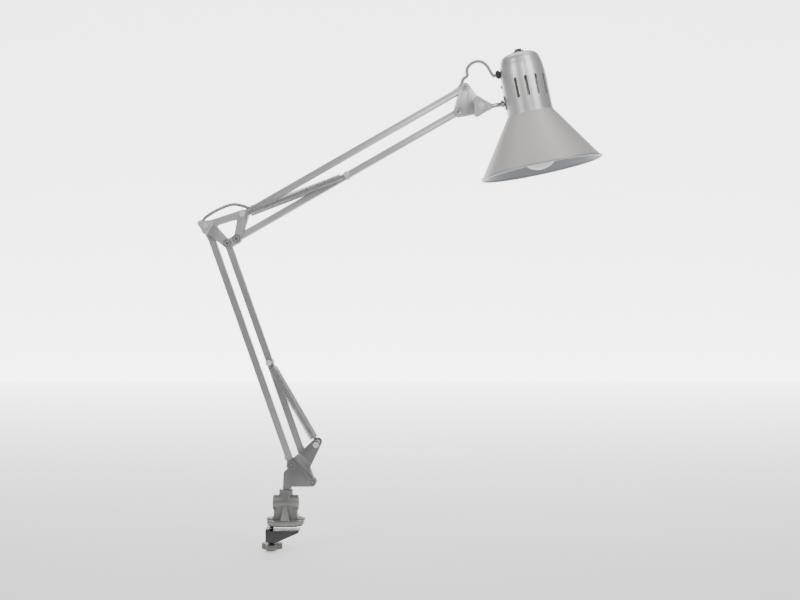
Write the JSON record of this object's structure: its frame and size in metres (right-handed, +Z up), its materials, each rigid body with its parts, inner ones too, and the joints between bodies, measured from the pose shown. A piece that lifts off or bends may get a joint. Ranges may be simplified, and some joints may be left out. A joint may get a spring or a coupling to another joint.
{
  "type": "swing arm desk lamp",
  "caption": "Clamp-on desk lamp with two spring-balanced parallelogram arms, a triangular elbow, and a vented cone-shaped head that tilts and rolls.",
  "frame": {"origin": "on the swivel axis, at the underside of the clamp pad, where the lamp rests on the table top", "axes": "+X the way the lamp reaches at rest, +Y to the rear of the arm plane, +Z up along the swivel axis"},
  "size_m": [0.562, 0.1722, 0.7002],
  "materials": {
    "silver_paint": "satin",
    "cast_paint": "satin",
    "jaw_paint": "satin",
    "cap_lacquer": "gloss",
    "cone_lacquer": "satin",
    "chrome": "polished",
    "spring_steel": "satin",
    "grey_plastic": "matte",
    "brown_plastic": "matte",
    "pale_plastic": "satin",
    "cream_plastic": "matte",
    "black_rubber": "matte",
    "black_plastic": "gloss",
    "cord_jacket": "satin",
    "frosted_glass": "frosted",
    "brass": "satin"
  },
  "bodies": {
    "clamp": {"clamp_bracket": "cast_paint", "clamp_pad": "black_rubber", "swivel_bush": "grey_plastic"},
    "clamp_jaw": {"clamp_jaw": "jaw_paint"},
    "clamp_screw": {"clamp_screw": "chrome", "clamp_knob": "brown_plastic"},
    "base_bracket": {"base_bracket": "silver_paint", "swivel_pin": "chrome", "base_back_screw": "chrome", "base_front_screw": "chrome", "lower_anchor_front": "pale_plastic", "lower_anchor_rear": "pale_plastic", "lower_spring_front": "spring_steel", "lower_spring_rear": "spring_steel"},
    "lower_back_bar": {"lower_back_bar": "silver_paint", "cord_in_lower_tube": "cord_jacket"},
    "lower_front_bar": {"lower_front_bar": "silver_paint", "lower_spring_pin": "pale_plastic"},
    "elbow": {"elbow_plate_front": "silver_paint", "elbow_plate_rear": "silver_paint", "elbow_bolt": "chrome", "elbow_lower_screw": "chrome", "elbow_upper_screw": "chrome", "upper_spring_anchor": "pale_plastic", "upper_spring_front": "spring_steel", "upper_spring_rear": "spring_steel", "cord_elbow_loop": "cord_jacket"},
    "elbow_knob": {"elbow_knob": "grey_plastic", "elbow_knob_cap": "pale_plastic"},
    "upper_top_bar": {"upper_top_bar": "silver_paint", "cord_in_upper_tube": "cord_jacket"},
    "upper_bottom_bar": {"upper_bottom_bar": "silver_paint", "upper_spring_pin": "pale_plastic"},
    "head_bracket": {"head_plate_front": "silver_paint", "head_plate_rear": "silver_paint", "head_top_screw": "chrome", "head_bottom_screw": "chrome", "head_bolt": "chrome", "cord_head_loop": "cord_jacket"},
    "head_knob": {"head_knob": "grey_plastic", "head_knob_cap": "pale_plastic"},
    "head_rod": {"head_rod": "chrome", "rod_nut": "chrome"},
    "shade": {"shade_cap": "cap_lacquer", "shade_cone": "cone_lacquer", "hinge_plate": "chrome", "cord_grommet": "black_rubber", "cap_screw": "chrome", "holder_plate": "chrome", "lampholder": "cream_plastic", "bulb_base": "brass", "bulb_glass": "frosted_glass", "switch_bezel": "grey_plastic"},
    "switch_rocker": {"switch_rocker": "black_plastic"}
  },
  "joints": [
    {"name": "jaw_slide", "type": "slide", "parent": "clamp", "child": "clamp_jaw", "axis": [0, 0, 1], "range_m": [-0.005, 0.0045]},
    {"name": "clamp_screw_turn", "type": "hinge", "parent": "clamp_jaw", "child": "clamp_screw", "pos_m": [-0.02, 0, 0], "axis": [0, 0, 1], "range_deg": [-1442, 1298]},
    {"name": "swivel", "type": "hinge", "parent": "clamp", "child": "base_bracket", "pos_m": [0, 0, 0], "axis": [0, 0, 1], "continuous": true},
    {"name": "lower_arm", "type": "hinge", "parent": "base_bracket", "child": "lower_back_bar", "pos_m": [0.008, 0, 0.0832], "axis": [0, 1, 0], "range_deg": [-13, 65]},
    {"name": "lower_front_pivot", "type": "hinge", "parent": "base_bracket", "child": "lower_front_bar", "pos_m": [0.0366, 0, 0.0597], "axis": [0, 1, 0], "range_deg": [-13, 65], "deforming": ["lower_spring_front", "lower_spring_rear"]},
    {"name": "elbow_level", "type": "hinge", "parent": "lower_back_bar", "child": "elbow", "pos_m": [-0.10966, 0, 0.41601], "axis": [0, 1, 0], "range_deg": [-65, 13], "deforming": ["cord_elbow_loop"]},
    {"name": "elbow_knob_turn", "type": "hinge", "parent": "elbow", "child": "elbow_knob", "pos_m": [-0.10966, 0, 0.41601], "axis": [0, 1, 0], "range_deg": [-180, 0]},
    {"name": "upper_arm", "type": "hinge", "parent": "elbow", "child": "upper_top_bar", "pos_m": [-0.05866, 0, 0.43311], "axis": [0, 1, 0], "range_deg": [-24, 55]},
    {"name": "upper_bottom_pivot", "type": "hinge", "parent": "elbow", "child": "upper_bottom_bar", "pos_m": [-0.06846, 0, 0.39921], "axis": [0, 1, 0], "range_deg": [-24, 55], "deforming": ["upper_spring_front", "upper_spring_rear"]},
    {"name": "head_level", "type": "hinge", "parent": "upper_top_bar", "child": "head_bracket", "pos_m": [0.25017, 0, 0.6102], "axis": [0, 1, 0], "range_deg": [-55, 24], "deforming": ["cord_head_loop"]},
    {"name": "head_knob_turn", "type": "hinge", "parent": "head_bracket", "child": "head_knob", "pos_m": [0.27197, 0, 0.5816], "axis": [0, 1, 0], "range_deg": [-180, 0]},
    {"name": "head_tilt", "type": "hinge", "parent": "head_bracket", "child": "head_rod", "pos_m": [0.27197, 0, 0.5816], "axis": [0, 1, 0], "range_deg": [-60, 40]},
    {"name": "shade_roll", "type": "hinge", "parent": "head_rod", "child": "shade", "pos_m": [0.27197, 0, 0.5816], "axis": [0.9803, 0, 0.1977], "range_deg": [-90, 90]},
    {"name": "switch_rock", "type": "hinge", "parent": "shade", "child": "switch_rocker", "pos_m": [0.32502, 0, 0.6585], "axis": [0.9803, 0, 0.1977], "range_deg": [0, 14]}
  ],
  "couplings": [
    {"joint": "clamp_screw_turn", "follows": "jaw_slide", "rad_per_m": 5026.5},
    {"joint": "lower_front_pivot", "follows": "lower_arm", "ratio": 1},
    {"joint": "elbow_level", "follows": "lower_arm", "ratio": -1},
    {"joint": "upper_bottom_pivot", "follows": "upper_arm", "ratio": 1},
    {"joint": "head_level", "follows": "upper_arm", "ratio": -1}
  ]
}
